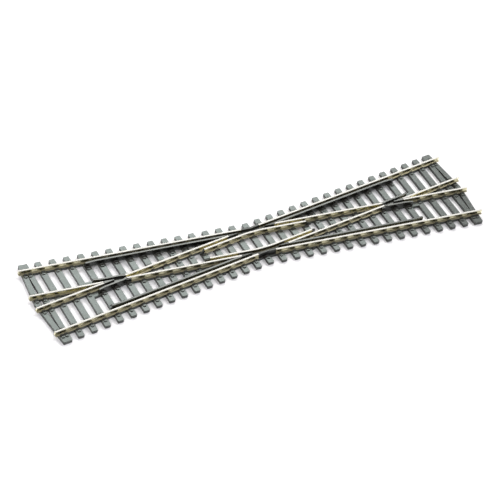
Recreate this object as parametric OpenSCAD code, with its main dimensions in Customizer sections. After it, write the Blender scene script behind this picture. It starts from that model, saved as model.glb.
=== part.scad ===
// Diamond crossing for model railway track, built of loose rails on a moulded sleeper base.
// Millimetres, +Z up. Origin in the middle of the underside. X runs along the long axis (east),
// Y runs across it (north). Track A climbs from south-west to north-east, track B falls from
// north-west to south-east, and each leaves X by half of the crossing angle.

/* [Track layout] */
// Clear width between the two railheads of a track
gauge = 16.5; // [15:0.1:18]
// Full angle at which the two tracks cross, degrees
crossing_angle = 12; // [10:0.5:14]
// Length of each track from rail end to rail end
track_length = 249; // [235:1:270]

/* [Rail section] */
// Height of the rail
rail_h = 2.54; // [2.3:0.02:2.8]
// Width of the railhead
head_w = 1.07; // [1:0.01:1.2]
// Depth of the railhead
head_h = 0.8; // [0.6:0.05:1]
// Thickness of the rail web
web_w = 0.62; // [0.5:0.02:0.8]
// Width of the rail foot
foot_w = 2.2; // [1.9:0.05:2.3]
// Thickness of the rail foot at the web
foot_h = 0.46; // [0.36:0.02:0.6]
// Thickness of the rail foot at its edge
foot_edge_h = 0.2; // [0.1:0.02:0.3]

/* [Flangeways] */
// Clear gap between a running rail and its check rail
check_flangeway = 1.38; // [1.3:0.02:1.6]
// Clear gap between a vee rail and its wing rail
frog_flangeway = 1.25; // [1.16:0.02:1.5]
// Depth of the flangeway floor below the railhead
flange_depth = 1.3; // [1.1:0.05:1.5]

/* [Sleepers] */
// Distance from sleeper to sleeper
sleeper_pitch = 7.38; // [6.9:0.02:7.8]
// Distance from the last cross sleeper to the one before it
last_pitch = 6.7; // [6.4:0.1:7.2]
// Width of a sleeper along the track
sleeper_w = 3.2; // [2.7:0.05:3.4]
// Chamfer on the corners of a sleeper
sleeper_corner = 0.45; // [0.2:0.05:0.7]
// Thickness of the sleepers
sleeper_t = 1.7; // [1.5:0.05:2.1]
// Sleeper length beyond the centre of the outer rail
sleeper_reach = 6.05; // [5:0.05:7]
// Width taken off both sleepers beside the slit between the last cross sleeper and an end sleeper
end_slit = 0.45; // [0.2:0.05:0.6]
// Rail length past the end sleeper
end_overhang = 1.7; // [0.8:0.1:2.4]
// Width of the web that ties the sleepers under each rail
tie_w = 2.2; // [1.8:0.1:2.4]
// Height of the underside of that web above the underside of the sleepers
tie_lift = 0.1; // [0.05:0.05:0.4]

/* [Chairs] */
// Chair length along the rail
chair_l = 2.2; // [1.6:0.1:2.6]
// Chair width beside the rail foot
chair_w = 0.9; // [0.7:0.05:1.1]
// Chair height above the sleeper
chair_h = 0.6; // [0.5:0.05:0.8]

/* [Acute frogs] */
// Distance from the point of the crossing to the metal tip of the vee
vee_gap = 2.9; // [2.4:0.1:3.6]
// Distance from the point of the crossing to the closure rails
closure_gap = 9.4; // [8.8:0.1:10.4]
// Distance from the point of the crossing to the blunt end of the moulded nose
nose_set_back = 2.93; // [2.4:0.1:3.4]
// Distance from the point of the crossing to the free ends of the wing rails
wing_reach = 7; // [6:0.1:8.4]
// Length of the flared end of a wing rail
wing_flare_l = 3.5; // [2.5:0.1:4]
// Sideways flare at the free end of a wing rail
wing_flare = 0.5; // [0.3:0.05:0.8]
// Slit between the two metal rails of a vee
vee_slit = 0.4; // [0.3:0.05:0.6]
// Distance from a vee rail to the outer edge of the plate beside it
plate_reach = 4.2; // [3.6:0.1:4.8]

/* [Obtuse crossings] */
// Distance from the point of the crossing to the ends of the stock rails
knuckle_gap = 5.13; // [4.6:0.1:6]
// Distance from the point of the crossing to the ends of the closure rails
point_gap = 13.5; // [13:0.1:15]
// Distance from the middle of the crossing to the blunt tips of the moulded points
point_tip = 7.6; // [7:0.1:9]
// Sleepers from the middle to the one that carries the end of a bent check rail
check_sleepers = 4; // [4:1:5]
// Length of the straight middle of a bent check rail
check_bend = 8; // [6:0.5:10]
// Length of the moulded ramp at the end of a bent check rail
ramp_l = 2.6; // [2:0.1:3]
// Sideways flare of that ramp
ramp_flare = 0.6; // [0.3:0.1:0.8]

/* [Guard rails] */
// Distance of the outer end of a guard rail past the point of the acute frog
guard_reach = 5.8; // [5:0.1:8]
// Length of the flared end of a guard rail
guard_flare_l = 6; // [4:0.5:8]
// Sideways flare at that end
guard_flare = 0.5; // [0.3:0.1:0.9]
// Depth of the web between the sleepers under a guard rail
guard_web_h = 0.6; // [0.4:0.1:1]
// Sleeper, counted from the middle one, where that web starts
guard_web_start = 3; // [3:1:4]

/* [Jumper wires] */
// Wire thickness
wire_d = 0.5; // [0.4:0.05:0.6]
// Height of the wires of track A above the underside
wire_low = 0.4; // [0.35:0.05:0.45]
// Height of the wires of track B above the underside
wire_high = 1.06; // [1.05:0.01:1.1]
// Clearance around a wire in its groove
wire_play = 0.1; // [0.05:0.01:0.15]
// Sleepers from the middle to the gap in which a wire of the obtuse crossings meets the rail
wire_sleepers = 3; // [2:1:3]
// Width of the boss that holds the end of such a wire
boss_w = 3.4; // [3:0.1:4]
// Length of that boss along the rail
boss_l = 1.4; // [1.2:0.1:2.4]

/* [Fits] */
// Clearance between a moulding and a rail beside it
fit_gap = 0.05; // [0.03:0.01:0.1]
// Clearance between a moulding and the end of a rail
end_gap = 0.2; // [0.15:0.01:0.3]

/* [Hidden] */
$fn = 24;
half_angle = crossing_angle / 2;
ca = cos(half_angle);
sa = sin(half_angle);
half_len = track_length / 2;
head_r = head_w / 2;
foot_r = foot_w / 2;
rail_off = gauge / 2 + head_r;
rail_z = sleeper_t;
bar_h = rail_h;
floor_h = rail_h - flange_depth;
check_off = rail_off - head_w - check_flangeway;
wing_off = rail_off - head_w - frog_flangeway;
acute_s = rail_off * ca / sa;
acute_x = rail_off / sa;
obtuse_s = rail_off * sa / ca;
vee_x = acute_x + vee_gap * ca;
closure_x = acute_x - closure_gap * ca;
nose_x = acute_x - nose_set_back;
wing_x = acute_x + wing_reach;
guard_x = acute_x + guard_reach;
knuckle_x = knuckle_gap * ca;
point_x = point_gap * ca;
check_x = check_sleepers * sleeper_pitch;
check_s = (check_x - check_off * sa) / ca;
check_mid = (check_off - check_bend / 2 * sa) / ca;
n_side = floor((half_len - sleeper_w - end_overhang) / sleeper_pitch);
last_x = (n_side - 1) * sleeper_pitch + last_pitch;
chair_off = fit_gap + chair_w / 2;
end_s = half_len - end_overhang - sleeper_w / 2;
boss_x = (wire_sleepers + 0.5) * sleeper_pitch;
outer_wire_x = (ceil(vee_x / sleeper_pitch) + 0.5) * sleeper_pitch;
inner_wire_x = (floor(closure_x / sleeper_pitch) - 0.5) * sleeper_pitch;
bend_lap = web_w / 4;
guard_r = head_r + chair_l / 2 * guard_flare / guard_flare_l;
wing_r = head_r + chair_l / 2 * wing_flare / wing_flare_l;
wire_r = wire_d / 2;
groove_w = wire_d + 2 * wire_play;
far = 2 * track_length;
metal = [0.80, 0.78, 0.72];
moulding = [0.45, 0.48, 0.47];
copper = [0.72, 0.45, 0.25];

// Plan point at distance s along and t to the left of track A, and the same for track B
function on_a(s, t) = [s * ca - t * sa, s * sa + t * ca];
function on_b(s, t) = [s * ca + t * sa, t * ca - s * sa];

// Plan point at x on the line that runs t to the left of track A, and the same for track B
function a_at(x, t) = [x, (t + x * sa) / ca];
function b_at(x, t) = [x, (t - x * sa) / ca];

// Plan point that lies u to the left of track A and v to the left of track B
function meet(u, v) = [(v - u) / (2 * sa), (u + v) / (2 * ca)];

// Distance along its track of the point at x on the rail that lies t to the left of track dir
function along(dir, x, t) = (x + dir * t * sa) / ca;

// Points turned over to another quarter of the plan
function turned(pts, sx, sy) = [for (p = pts) [sx * p[0], sy * p[1]]];

// Outline of a bar of railhead width whose centre follows a path
function bar_outline(path) = concat(
    [for (p = path) p + [0, head_r / ca]],
    [for (i = [len(path) - 1 : -1 : 0]) path[i] - [0, head_r / ca]]);

// Height on the plan of the sleeper end at x
function sleeper_end(x) = (rail_off + abs(x) * sa) / ca + sleeper_reach;

// Rail section, foot on the sleeper
module rail_section() {
    polygon([
        [-foot_r, 0], [foot_r, 0], [foot_r, foot_edge_h], [web_w / 2, foot_h],
        [web_w / 2, rail_h - head_h], [head_r, rail_h - head_h + head_r - web_w / 2],
        [head_r, rail_h], [-head_r, rail_h],
        [-head_r, rail_h - head_h + head_r - web_w / 2], [-web_w / 2, rail_h - head_h],
        [-web_w / 2, foot_h], [-foot_r, foot_edge_h]
    ]);
}

// Straight rail from s0 to s1 along a track turned by dir half angles, t to its left
module rail(dir, s0, s1, t) {
    rotate([0, 0, dir * half_angle])
        translate([s0, t, rail_z])
            rotate([90, 0, 90])
                linear_extrude(s1 - s0)
                    rail_section();
}

// Half of space on the north side (side 1) or the south side (side -1) of the vee slit
module beside_slit(side) {
    translate([-far / 2, side > 0 ? vee_slit / 2 : -far - vee_slit / 2, 0])
        cube([far, far, far]);
}

// Moulded bar or plate with the given outline, standing on the sleepers
module standing(pts, h) {
    translate([0, 0, rail_z])
        linear_extrude(h)
            polygon(pts);
}

// Place on the long axis of cross sleeper i; the last one stands closer
function sleeper_x(i) = abs(i) < n_side ? i * sleeper_pitch : sign(i) * last_x;

// Sleeper across the long axis at place i, with chamfered corners; the last one is narrower at the slit
module cross_sleeper(i) {
    x = sleeper_x(i);
    west = sleeper_w / 2 - (i == -n_side ? end_slit : 0);
    east = sleeper_w / 2 - (i == n_side ? end_slit : 0);
    h = sleeper_end(x);
    c = sleeper_corner;
    translate([x, 0])
        polygon([
            [c - west, -h], [east - c, -h], [east, c - h], [east, h - c],
            [east - c, h], [c - west, h], [-west, h - c], [-west, c - h]
        ]);
}

// End sleeper, square to its own track, from beyond the outer rail to the long axis
module end_sleeper(sx, sy) {
    s_out = end_s + sleeper_w / 2;
    s_in = end_s - sleeper_w / 2 + end_slit;
    polygon(turned([
        on_b(-s_out, rail_off + sleeper_reach), on_b(-s_in, rail_off + sleeper_reach),
        on_b(-s_in, -s_in * sa / ca), on_b(-s_out, -s_out * sa / ca)
    ], sx, sy));
}

// Web under one rail line
module tie(dir, t) {
    rotate([0, 0, dir * half_angle])
        translate([-end_s, t - tie_w / 2])
            square([2 * end_s, tie_w]);
}

// Bed under an acute frog, as wide as its wing rails
module frog_bed(sx) {
    edge = head_r / ca;
    rim = [
        a_at(-closure_x, rail_off) + [0, edge],
        b_at(-closure_x - closure_gap / 4, -wing_off) + [0, edge],
        b_at(-wing_x, -wing_off) + [0, edge]
    ];
    polygon(turned(concat(rim, turned([rim[2], rim[1], rim[0]], 1, -1)), sx, 1));
}

// Plate beside the tip of a vee that widens the web under the rail between two sleepers
module vee_plate(sx, sy) {
    x0 = -outer_wire_x - sleeper_pitch / 2;
    x1 = -outer_wire_x + sleeper_pitch / 2;
    inner = tie_w / 4 - rail_off;
    outer = plate_reach - rail_off;
    polygon(turned([b_at(x0, inner), b_at(x1, inner), b_at(x1, outer), b_at(x0, outer)], sx, sy));
}

// Sideways flare of a bar at x that bends out over the last length l before its end at x_end
function flare_at(x, x_end, l, flare) = flare * max(0, abs(x) - x_end + l) / l;

// Web between the sleepers under a guard rail, flush with its sides
module guard_web(sx, sy) {
    last = floor(guard_x / sleeper_pitch) * sleeper_pitch;
    polygon(turned(bar_outline([
        b_at(-guard_web_start * sleeper_pitch, check_off),
        b_at(guard_flare_l - guard_x, check_off),
        [-last, guard_y(last)]
    ]), sx, sy));
}

// Height on the plan, north of the long axis, of the guard, check and wing rails at x
function guard_y(x) = b_at(-abs(x), check_off - flare_at(x, guard_x, guard_flare_l, guard_flare))[1];
function check_y(x) = min(check_mid, a_at(-abs(x), check_off)[1]);
function wing_y(x) = b_at(-abs(x), flare_at(x, wing_x, wing_flare_l, wing_flare) - wing_off)[1];

// Bars on the sleeper at x: height on the plan, half width, lean and the side to be held (0 for both)
function rail_lines(x) = [for (k = [-1, 1]) each abs(x) < chair_l ?
    [[a_at(x, k * rail_off)[1], foot_r, 0, 0]] :
    [[a_at(x, k * rail_off)[1], foot_r, half_angle, 0],
        [b_at(x, k * rail_off)[1], foot_r, -half_angle, 0]]];
function guard_lines(x) = abs(x) > guard_x + chair_l / 2 || abs(x) < point_x ? [] :
    [for (k = [-1, 1]) [k * guard_y(x), guard_r, k * sign(x) * half_angle, -k]];
function check_lines(x) = abs(x) > check_x + ramp_l + chair_l / 2 ? [] :
    [for (k = [-1, 1])
        [k * check_y(x), foot_r, abs(x) < check_bend / 2 ? 0 : -k * sign(x) * half_angle, -k]];
function wing_lines(x) = abs(x) > wing_x + chair_l / 2 || abs(x) < closure_x - chair_l ? [] :
    [for (k = [-1, 1]) [k * wing_y(x), wing_r, k * sign(x) * half_angle, k]];
function lines_at(x) = concat(rail_lines(x), guard_lines(x), check_lines(x), wing_lines(x));

// Least room between the middle of a chair at y and the edges of what stands on the sleeper at x
function room(x, y) = min([for (o = lines_at(x)) abs(o[0] - y) * ca - o[1]]);

// Chairs on one sleeper, on both sides of a rail and on the free side of any other bar,
// left out where another piece stands, where a chair of the end sleeper reaches over and where
// the chairs of two rails would cross
module chairs(i) {
    x = sleeper_x(i);
    for (bar = lines_at(x))
        for (side = bar[3] == 0 ? [-1, 1] : [bar[3]]) {
            y = bar[0] + side * (bar[1] + chair_off) / ca;
            shared = abs(i) == n_side && abs(y) > rail_off;
            crossed = abs(y) * ca < chair_w / 2 + chair_l / 2 * sa;
            if (room(x, y) > chair_w / 2 && !shared && !crossed)
                translate([x, y])
                    rotate([0, 0, bar[2]])
                        square([chair_l, chair_w], center = true);
        }
}

// Chairs on the end sleepers; those of the outer rails reach over the last cross sleeper
module end_chairs() {
    s_out = end_s + chair_l / 2;
    for (dir = [-1, 1])
        for (sx = [-1, 1])
            for (k = [-1, 1])
                for (side = [-1, 1]) {
                    t = k * rail_off;
                    s_in = (k == dir * sx ? abs(along(dir, sx * last_x, t)) : end_s) - chair_l / 2;
                    rotate([0, 0, dir * half_angle])
                        translate([sx > 0 ? s_in : -s_out, t + side * (foot_r + chair_off) - chair_w / 2])
                            square([s_out - s_in, chair_w]);
                }
}

// Moulded ramp that leads a wheel into a bent check rail
module check_ramp(sx, sy) {
    start = a_at(-check_x - end_gap, check_off);
    finish = a_at(-check_x - ramp_l, check_off - ramp_flare);
    standing(turned(bar_outline([start, finish]), sx, sy), bar_h);
}

// Groove for one wire of track dir from x0 to x1 under the rail line t, open at the underside,
// with a shaft up to the rail at each end
module wire_groove(dir, x0, x1, t, z) {
    s0 = along(dir, x0, t) - groove_w / 2;
    s1 = along(dir, x1, t) + groove_w / 2;
    roof = z + wire_r + wire_play;
    top = sleeper_t + groove_w;
    rotate([0, 0, dir * half_angle])
        translate([0, t + groove_w / 2, 0])
            rotate([90, 0, 0])
                linear_extrude(groove_w)
                    polygon([
                        [s0, -groove_w], [s1, -groove_w], [s1, top], [s1 - groove_w, top],
                        [s1 - groove_w, roof], [s0 + groove_w, roof], [s0 + groove_w, top], [s0, top]
                    ]);
}

// Boss around the end of a wire under a stock rail
module wire_boss(sx, sy) {
    translate([sx * boss_x, sy * b_at(-boss_x, rail_off)[1], tie_lift + (sleeper_t - tie_lift) / 2])
        cube([boss_l, boss_w, sleeper_t - tie_lift], center = true);
}

module sleeper_base() {
    color(moulding)
        difference() {
            union() {
                linear_extrude(sleeper_t)
                    union() {
                        for (i = [-n_side : n_side])
                            cross_sleeper(i);
                        for (sx = [-1, 1])
                            for (sy = [-1, 1])
                                end_sleeper(sx, sy);
                    }
                translate([0, 0, tie_lift])
                    linear_extrude(sleeper_t - tie_lift)
                        union() {
                            for (dir = [-1, 1])
                                for (t = [-rail_off, rail_off])
                                    tie(dir, t);
                            for (sx = [-1, 1]) {
                                frog_bed(sx);
                                for (sy = [-1, 1])
                                    vee_plate(sx, sy);
                            }
                        }
                translate([0, 0, sleeper_t - guard_web_h])
                    linear_extrude(guard_web_h)
                        union() {
                            for (sx = [-1, 1])
                                for (sy = [-1, 1])
                                    guard_web(sx, sy);
                        }
                translate([0, 0, sleeper_t])
                    linear_extrude(chair_h)
                        union() {
                            for (i = [-n_side : n_side])
                                chairs(i);
                            end_chairs();
                        }
                for (sx = [-1, 1])
                    for (sy = [-1, 1]) {
                        check_ramp(sx, sy);
                        wire_boss(sx, sy);
                    }
            }
            for (dir = [-1, 1])
                wire_grooves(dir, dir > 0 ? wire_low : wire_high);
        }
}

// All four wire grooves of one track
module wire_grooves(dir, z) {
    wire_groove(dir, -outer_wire_x, -inner_wire_x, dir * rail_off, z);
    wire_groove(dir, inner_wire_x, outer_wire_x, -dir * rail_off, z);
    wire_groove(dir, -boss_x, boss_x, rail_off, z);
    wire_groove(dir, -boss_x, boss_x, -rail_off, z);
}

// Jumper wire of track dir from x0 to x1 under the rail line t, turned up to the rails at both ends
module jumper(dir, x0, x1, t, z) {
    s0 = along(dir, x0, t);
    s1 = along(dir, x1, t);
    color(copper)
        rotate([0, 0, dir * half_angle])
            translate([0, t, 0]) {
                translate([s0 - wire_r, 0, z])
                    rotate([0, 90, 0])
                        cylinder(d = wire_d, h = s1 - s0 + wire_d);
                for (s = [s0, s1])
                    translate([s, 0, z])
                        cylinder(d = wire_d, h = sleeper_t - z);
            }
}

// Stock rail from the rail end to the obtuse crossing
module stock_rail_north_west() {
    color(metal)
        rail(-1, -half_len, -obtuse_s - knuckle_gap, rail_off);
}

module stock_rail_north_east() {
    color(metal)
        rail(1, obtuse_s + knuckle_gap, half_len, rail_off);
}

module stock_rail_south_west() {
    color(metal)
        rail(1, -half_len, -obtuse_s - knuckle_gap, -rail_off);
}

module stock_rail_south_east() {
    color(metal)
        rail(-1, obtuse_s + knuckle_gap, half_len, -rail_off);
}

// Rail of a vee, from the rail end to the tip, planed along the slit
module vee_rail(dir, sx) {
    t = -sx * dir * rail_off;
    s0 = sx > 0 ? acute_s + vee_gap : -half_len;
    s1 = sx > 0 ? half_len : -acute_s - vee_gap;
    color(metal)
        intersection() {
            rail(dir, s0, s1, t);
            beside_slit(sx * dir);
        }
}

module vee_rail_west_north() {
    vee_rail(-1, -1);
}

module vee_rail_west_south() {
    vee_rail(1, -1);
}

module vee_rail_east_north() {
    vee_rail(1, 1);
}

module vee_rail_east_south() {
    vee_rail(-1, 1);
}

// Closure rail between an acute frog and an obtuse crossing, planed along the slit
module closure_rail(dir, sx) {
    t = -sx * dir * rail_off;
    s0 = sx > 0 ? point_gap - obtuse_s : -acute_s + closure_gap;
    s1 = sx > 0 ? acute_s - closure_gap : obtuse_s - point_gap;
    color(metal)
        intersection() {
            rail(dir, s0, s1, t);
            beside_slit(t);
        }
}

module closure_rail_north_west() {
    closure_rail(1, -1);
}

module closure_rail_north_east() {
    closure_rail(-1, 1);
}

module closure_rail_south_west() {
    closure_rail(-1, -1);
}

module closure_rail_south_east() {
    closure_rail(1, 1);
}

// Half of space on one side (keep 1 or -1) of the mitre plane at a bend of a check rail, lap nearer
// to the middle
module mitre(side, leg, keep, lap) {
    translate([leg * (check_bend / 2 - lap), side * check_mid, 0])
        rotate([0, 0, -side * leg * half_angle / 2])
            translate([keep > 0 ? 0 : -far, -far / 2, 0])
                cube([far, far, far]);
}

// Check rail of an obtuse crossing: a short straight middle and two legs that follow the closure rails
module check_rail(side) {
    color(metal)
        union() {
            for (leg = [-1, 1])
                intersection() {
                    rail(-leg * side, leg > 0 ? 0 : -check_s, leg > 0 ? check_s : 0, side * check_off);
                    mitre(side, leg, leg, bend_lap);
                }
            intersection() {
                rail(0, -check_bend, check_bend, side * check_mid);
                mitre(side, -1, 1, 0);
                mitre(side, 1, -1, 0);
            }
        }
}

module check_rail_north() {
    check_rail(1);
}

module check_rail_south() {
    check_rail(-1);
}

// Moulded acute frog: flangeway floor, blunt nose with the fin between the vee rails, two wing rails
module acute_frog(sx) {
    start_x = closure_x + end_gap;
    join_x = closure_x + closure_gap / 4;
    stop_x = vee_x - end_gap;
    start = a_at(-start_x, rail_off);
    join = b_at(-join_x, -wing_off);
    stop = b_at(-stop_x, -wing_off);
    bend = b_at(-wing_x + wing_flare_l, -wing_off);
    free = b_at(-wing_x, -wing_off + wing_flare);
    plate = [start, join, stop];
    fin_r = vee_slit / 2 - fit_gap;
    color(moulding)
        union() {
            standing(turned(concat(plate, turned([stop, join, start], 1, -1)), sx, 1), floor_h);
            for (sy = [-1, 1])
                standing(turned(bar_outline([start, join, bend, free]), sx, sy), bar_h);
            standing(turned([
                b_at(-stop_x, head_r - rail_off), b_at(-nose_x, head_r - rail_off),
                a_at(-nose_x, rail_off - head_r), a_at(-stop_x, rail_off - head_r)
            ], sx, 1), bar_h);
            standing(turned([
                [-stop_x, fin_r], [-vee_x - vee_gap, fin_r],
                [-vee_x - vee_gap, -fin_r], [-stop_x, -fin_r]
            ], sx, 1), bar_h);
        }
}

module acute_frog_west() {
    acute_frog(1);
}

module acute_frog_east() {
    acute_frog(-1);
}

// Moulded obtuse crossing: knuckle between the stock rails, two points and the flangeway floor
module obtuse_frog(side) {
    low = check_off + foot_r + fit_gap;
    high = rail_off - foot_r - fit_gap;
    cut = rail_off - head_r - check_flangeway;
    out_x = point_x - end_gap;
    in_x = knuckle_x - end_gap;
    half_floor = [
        [0, low / ca], a_at(-out_x, low), b_at(-out_x, high), b_at(-in_x, high),
        b_at(-in_x, rail_off + head_r), [0, (rail_off + head_r) / ca]
    ];
    color(moulding)
        for (sx = [1, -1]) {
            standing(turned(half_floor, sx, side), floor_h);
            standing(turned([
                b_at(-in_x, rail_off - head_r), b_at(-in_x, rail_off + head_r),
                [0, (rail_off + head_r) / ca], [0, (rail_off - head_r) / ca]
            ], sx, side), bar_h);
            standing(turned([
                a_at(-out_x, rail_off - head_r), b_at(-out_x, cut),
                b_at(-point_tip, cut), a_at(-point_tip, rail_off - head_r)
            ], sx, side), bar_h);
        }
}

module obtuse_frog_north() {
    obtuse_frog(1);
}

module obtuse_frog_south() {
    obtuse_frog(-1);
}

// Moulded guard rail inside a stock rail, flared at the acute end and scarfed over the foot of the
// closure rail at the other
module guard_rail(sx, sy) {
    hi = check_off + head_r;
    lo = check_off - head_r;
    foot_line = rail_off + foot_r + fit_gap;
    head_line = rail_off + head_r + fit_gap;
    stop_x = point_x + end_gap;
    bend_x = guard_x - guard_flare_l;
    outer = [
        b_at(-bend_x, lo), b_at(-guard_x, lo - guard_flare),
        b_at(-guard_x, hi - guard_flare), b_at(-bend_x, hi)
    ];
    step_h = foot_h + fit_gap;
    color(moulding)
        union() {
            standing(turned(concat(outer, [meet(foot_line, hi), meet(foot_line, lo)]), sx, sy), bar_h);
            translate([0, 0, step_h])
                standing(turned([
                    b_at(-bend_x, lo), b_at(-bend_x, hi), b_at(-stop_x, hi),
                    a_at(-stop_x, head_line), meet(head_line, lo)
                ], sx, sy), bar_h - step_h);
        }
}

module guard_rail_north_west() {
    guard_rail(1, 1);
}

module guard_rail_north_east() {
    guard_rail(-1, 1);
}

module guard_rail_south_west() {
    guard_rail(1, -1);
}

module guard_rail_south_east() {
    guard_rail(-1, -1);
}

module jumper_west_a() {
    jumper(1, -outer_wire_x, -inner_wire_x, rail_off, wire_low);
}

module jumper_west_b() {
    jumper(-1, -outer_wire_x, -inner_wire_x, -rail_off, wire_high);
}

module jumper_east_a() {
    jumper(1, inner_wire_x, outer_wire_x, -rail_off, wire_low);
}

module jumper_east_b() {
    jumper(-1, inner_wire_x, outer_wire_x, rail_off, wire_high);
}

module jumper_north_a() {
    jumper(1, -boss_x, boss_x, rail_off, wire_low);
}

module jumper_north_b() {
    jumper(-1, -boss_x, boss_x, rail_off, wire_high);
}

module jumper_south_a() {
    jumper(1, -boss_x, boss_x, -rail_off, wire_low);
}

module jumper_south_b() {
    jumper(-1, -boss_x, boss_x, -rail_off, wire_high);
}

sleeper_base();
stock_rail_north_west();
stock_rail_north_east();
stock_rail_south_west();
stock_rail_south_east();
vee_rail_west_north();
vee_rail_west_south();
vee_rail_east_north();
vee_rail_east_south();
closure_rail_north_west();
closure_rail_north_east();
closure_rail_south_west();
closure_rail_south_east();
check_rail_north();
check_rail_south();
acute_frog_west();
acute_frog_east();
obtuse_frog_north();
obtuse_frog_south();
guard_rail_north_west();
guard_rail_north_east();
guard_rail_south_west();
guard_rail_south_east();
jumper_west_a();
jumper_west_b();
jumper_east_a();
jumper_east_b();
jumper_north_a();
jumper_north_b();
jumper_south_a();
jumper_south_b();
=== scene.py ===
"""Diamond crossing of 16.5 mm gauge model track: moulded sleeper base, drawn rails, moulded frogs.
Lengths are in millimetres and become metres where a mesh is made. X runs along the crossing, Y across
it and Z up from the underside of the sleepers. Track A climbs to the north-east, track B to the
north-west."""
import math

import bmesh
import bpy
from mathutils import Matrix, Vector


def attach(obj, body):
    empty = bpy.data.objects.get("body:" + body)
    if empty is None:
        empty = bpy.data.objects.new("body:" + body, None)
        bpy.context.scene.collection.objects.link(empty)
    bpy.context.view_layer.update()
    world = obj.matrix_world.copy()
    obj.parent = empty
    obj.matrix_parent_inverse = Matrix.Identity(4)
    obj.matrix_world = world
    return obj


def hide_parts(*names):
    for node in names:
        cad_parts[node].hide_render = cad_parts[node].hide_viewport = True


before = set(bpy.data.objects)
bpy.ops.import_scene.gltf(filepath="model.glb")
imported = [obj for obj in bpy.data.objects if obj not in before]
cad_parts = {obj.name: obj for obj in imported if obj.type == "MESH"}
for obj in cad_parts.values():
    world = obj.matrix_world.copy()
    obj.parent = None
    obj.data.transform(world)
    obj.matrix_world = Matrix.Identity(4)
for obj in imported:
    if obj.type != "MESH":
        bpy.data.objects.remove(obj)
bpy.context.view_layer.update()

MM = 0.001

# Track layout
GAUGE = 16.5
HALF_ANGLE = math.radians(6)
HALF_LENGTH = 124.5

# Rail section; its faces shade as one curve where they meet at less than RAIL_SMOOTH degrees
RAIL_H = 2.54
HEAD_W = 1.07
HEAD_H = 0.8
WEB_W = 0.62
FOOT_W = 2.2
FOOT_H = 0.46
FOOT_EDGE_H = 0.2
RAIL_SMOOTH = 30

# Flangeways
CHECK_FLANGEWAY = 1.38
FROG_FLANGEWAY = 1.25
FLANGE_DEPTH = 1.3

# Sleepers and chairs
PITCH = 7.38
LAST_PITCH = 6.7
SIDE_SLEEPERS = 16
SLEEPER_W = 3.2
SLEEPER_T = 1.7
SLEEPER_CORNER = 0.5
END_SLIT = 0.45
EDGE = 0.06
SLEEPER_REACH = 6.05
END_OVERHANG = 1.7
TIE_W = 2.2
TIE_LIFT = 0.1
CHAIR_L = 2.2
CHAIR_W = 0.9
CHAIR_REACH = 2.1
CHECK_CHAIR_REACH = 1.2
CHECK_SEAT_L = 2.6
CHAIR_CLEAR = 0.2
CHAIR_EDGE = 0.08
JAW_R = 0.9
JAW_L = 0.5
JAW_H = 0.62
JAW_TOE_H = 0.32
JAW_LIP = 0.16
SEAT_R = 0.82
SEAT_START = 1.0
SEAT_CORNER = 0.4
SEAT_H = 0.42
SCREW_R = 0.28
SCREW_H = 0.12
FIT_GAP = 0.05
END_GAP = 0.2

# Frogs, check rails and guard rails
VEE_GAP = 2.9
CLOSURE_GAP = 9.4
NOSE_SET_BACK = 2.93
WING_REACH = 7
WING_FLARE_L = 3.5
WING_FLARE = 0.5
VEE_SLIT = 0.4
PLATE_REACH = 4.2
CHEEK_L = 2
CHEEK_ROOT = 1.2
CHEEK_DROP = 0.35
KNUCKLE_GAP = 5.13
POINT_GAP = 13.5
POINT_TIP = 7.6
CHECK_SLEEPERS = 4
CHECK_BEND = 8
CHECK_EASE = 2.2
CHECK_EASE_STEPS = 8
RAMP_L = 2.6
RAMP_FLARE = 0.6
RAMP_FALL = 0.5
RAMP_DROP = 0.1
GUARD_REACH = 5.8
GUARD_FLARE_L = 6
GUARD_FLARE = 0.5
GUARD_WEB_H = 0.6
GUARD_WEB_START = 3
GUARD_WEB_INSET = 0.01
WIRE_SLEEPERS = 3
WIRE_LOW = 0.4
WIRE_HIGH = 1.06
WIRE_D = 0.5
WIRE_PLAY = 0.1
BOSS_W = 3.4
BOSS_L = 1.4

# Softened edges of the mouldings
ROUND_SHARE = 0.3
BAR_EDGE = 0.14
KNUCKLE_EDGE = 0.12
NOSE_EDGE = 0.1
FIN_EDGE = 0.04
FLOOR_EDGE = 0.05
BED_EDGE = 0.06
PLATE_EDGE = 0.1
BOSS_EDGE = 0.15
WEB_EDGE = 0.01
CHECK_SEAT_EDGE = 0.2

# How far tops that overlap in plan lie below each other, so that none share a plane
END_DROP = 0.005
JOINT_DROP = 0.01
WEB_DROP = 0.01
BED_DROP = 0.02
BOSS_DROP = 0.03
TIE_DROP = 0.06
SCARF_DROP = 0.005

# Camera from a fit to the photograph, in degrees, millimetres and pixels
VIEW_AZIMUTH = -35.6493
VIEW_ELEVATION = 43.9883
VIEW_ROLL = 10.7503
VIEW_DISTANCE = 1055.245
VIEW_AIM = (-5.32, -1.869, 0)
FOCAL_PIXELS = 2081.303
PICTURE_PIXELS = 500
SENSOR_W = 36

# Half the side of the paper floor, in metres
PAPER_R = 4

# Places that follow from the sizes
CA, SA = math.cos(HALF_ANGLE), math.sin(HALF_ANGLE)
HEAD_R = HEAD_W / 2
FOOT_R = FOOT_W / 2
RAIL_OFF = GAUGE / 2 + HEAD_R
TOP_Z = SLEEPER_T + RAIL_H
FLOOR_Z = TOP_Z - FLANGE_DEPTH
CHECK_OFF = RAIL_OFF - HEAD_W - CHECK_FLANGEWAY
WING_OFF = RAIL_OFF - HEAD_W - FROG_FLANGEWAY
ACUTE_S = RAIL_OFF * CA / SA
ACUTE_X = RAIL_OFF / SA
OBTUSE_S = RAIL_OFF * SA / CA
VEE_X = ACUTE_X + VEE_GAP * CA
CLOSURE_X = ACUTE_X - CLOSURE_GAP * CA
JOIN_X = CLOSURE_X + CLOSURE_GAP / 4
NOSE_X = ACUTE_X - NOSE_SET_BACK
WING_X = ACUTE_X + WING_REACH
GUARD_X = ACUTE_X + GUARD_REACH
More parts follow.
